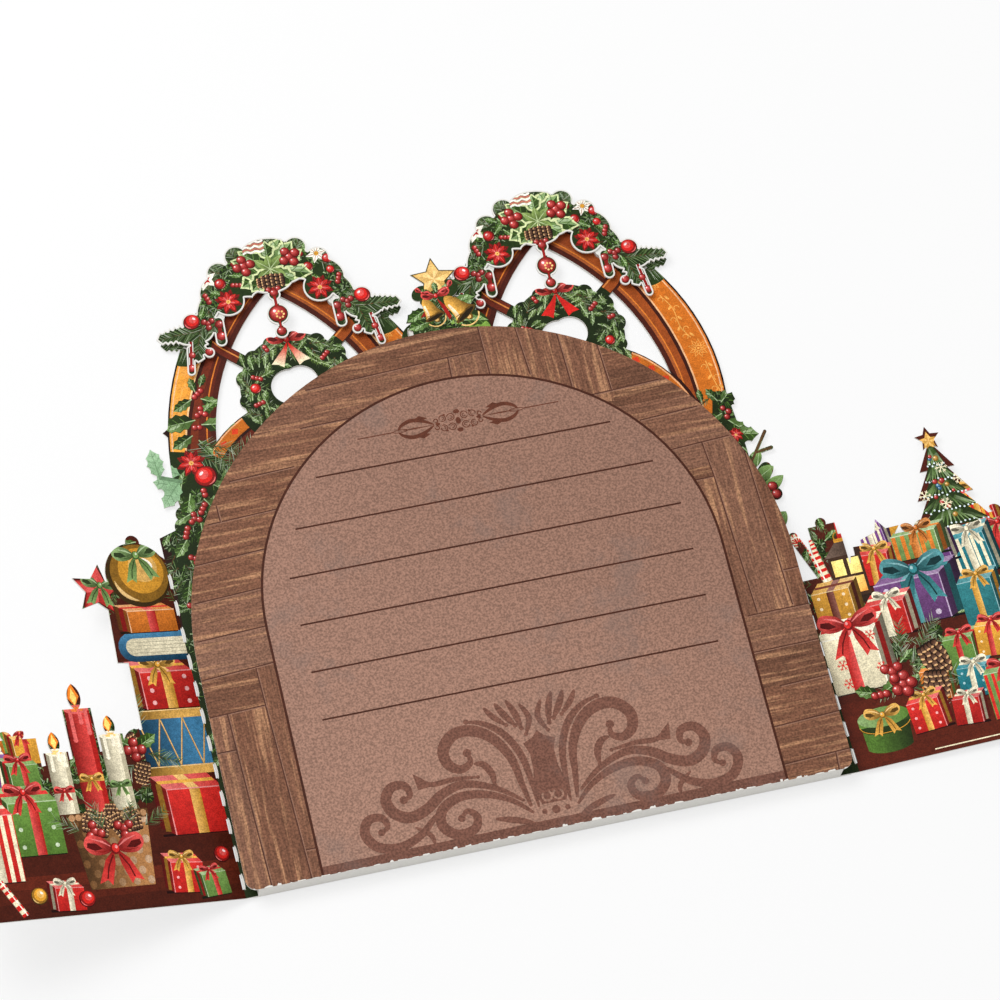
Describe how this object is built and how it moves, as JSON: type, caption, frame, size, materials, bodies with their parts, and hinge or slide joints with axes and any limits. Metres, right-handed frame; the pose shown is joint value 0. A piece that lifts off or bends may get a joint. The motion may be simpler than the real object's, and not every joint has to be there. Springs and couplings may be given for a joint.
{
  "type": "greeting card",
  "caption": "Layered die-cut Christmas greeting card lying open, with a round-topped writing panel, two printed windows and two side wings.",
  "frame": {"origin": "on the table, under the middle of the card's back, 50 mm above the bottom crease", "axes": "+X across the card to the right wing, +Y up the card to the windows, +Z out of the face that is written on"},
  "size_m": [0.2406, 0.1369, 0.0258],
  "materials": {
    "backing_ply": "matte",
    "window_sheet": "matte",
    "message_panel": "matte",
    "garland_left": "matte",
    "garland_right": "matte",
    "bell_spray": "matte",
    "foam_strip_left": "matte",
    "foam_strip_right": "matte",
    "garland_pads_left": "matte",
    "garland_pads_right": "matte",
    "bell_spray_pad": "matte"
  },
  "bodies": {
    "root": {"backing_ply": "backing_ply", "window_sheet": "window_sheet", "message_panel": "message_panel", "garland_left": "garland_left", "garland_right": "garland_right", "bell_spray": "bell_spray", "foam_strip_left": "foam_strip_left", "foam_strip_right": "foam_strip_right", "garland_pads_left": "garland_pads_left", "garland_pads_right": "garland_pads_right", "bell_spray_pad": "bell_spray_pad"}
  },
  "joints": []
}
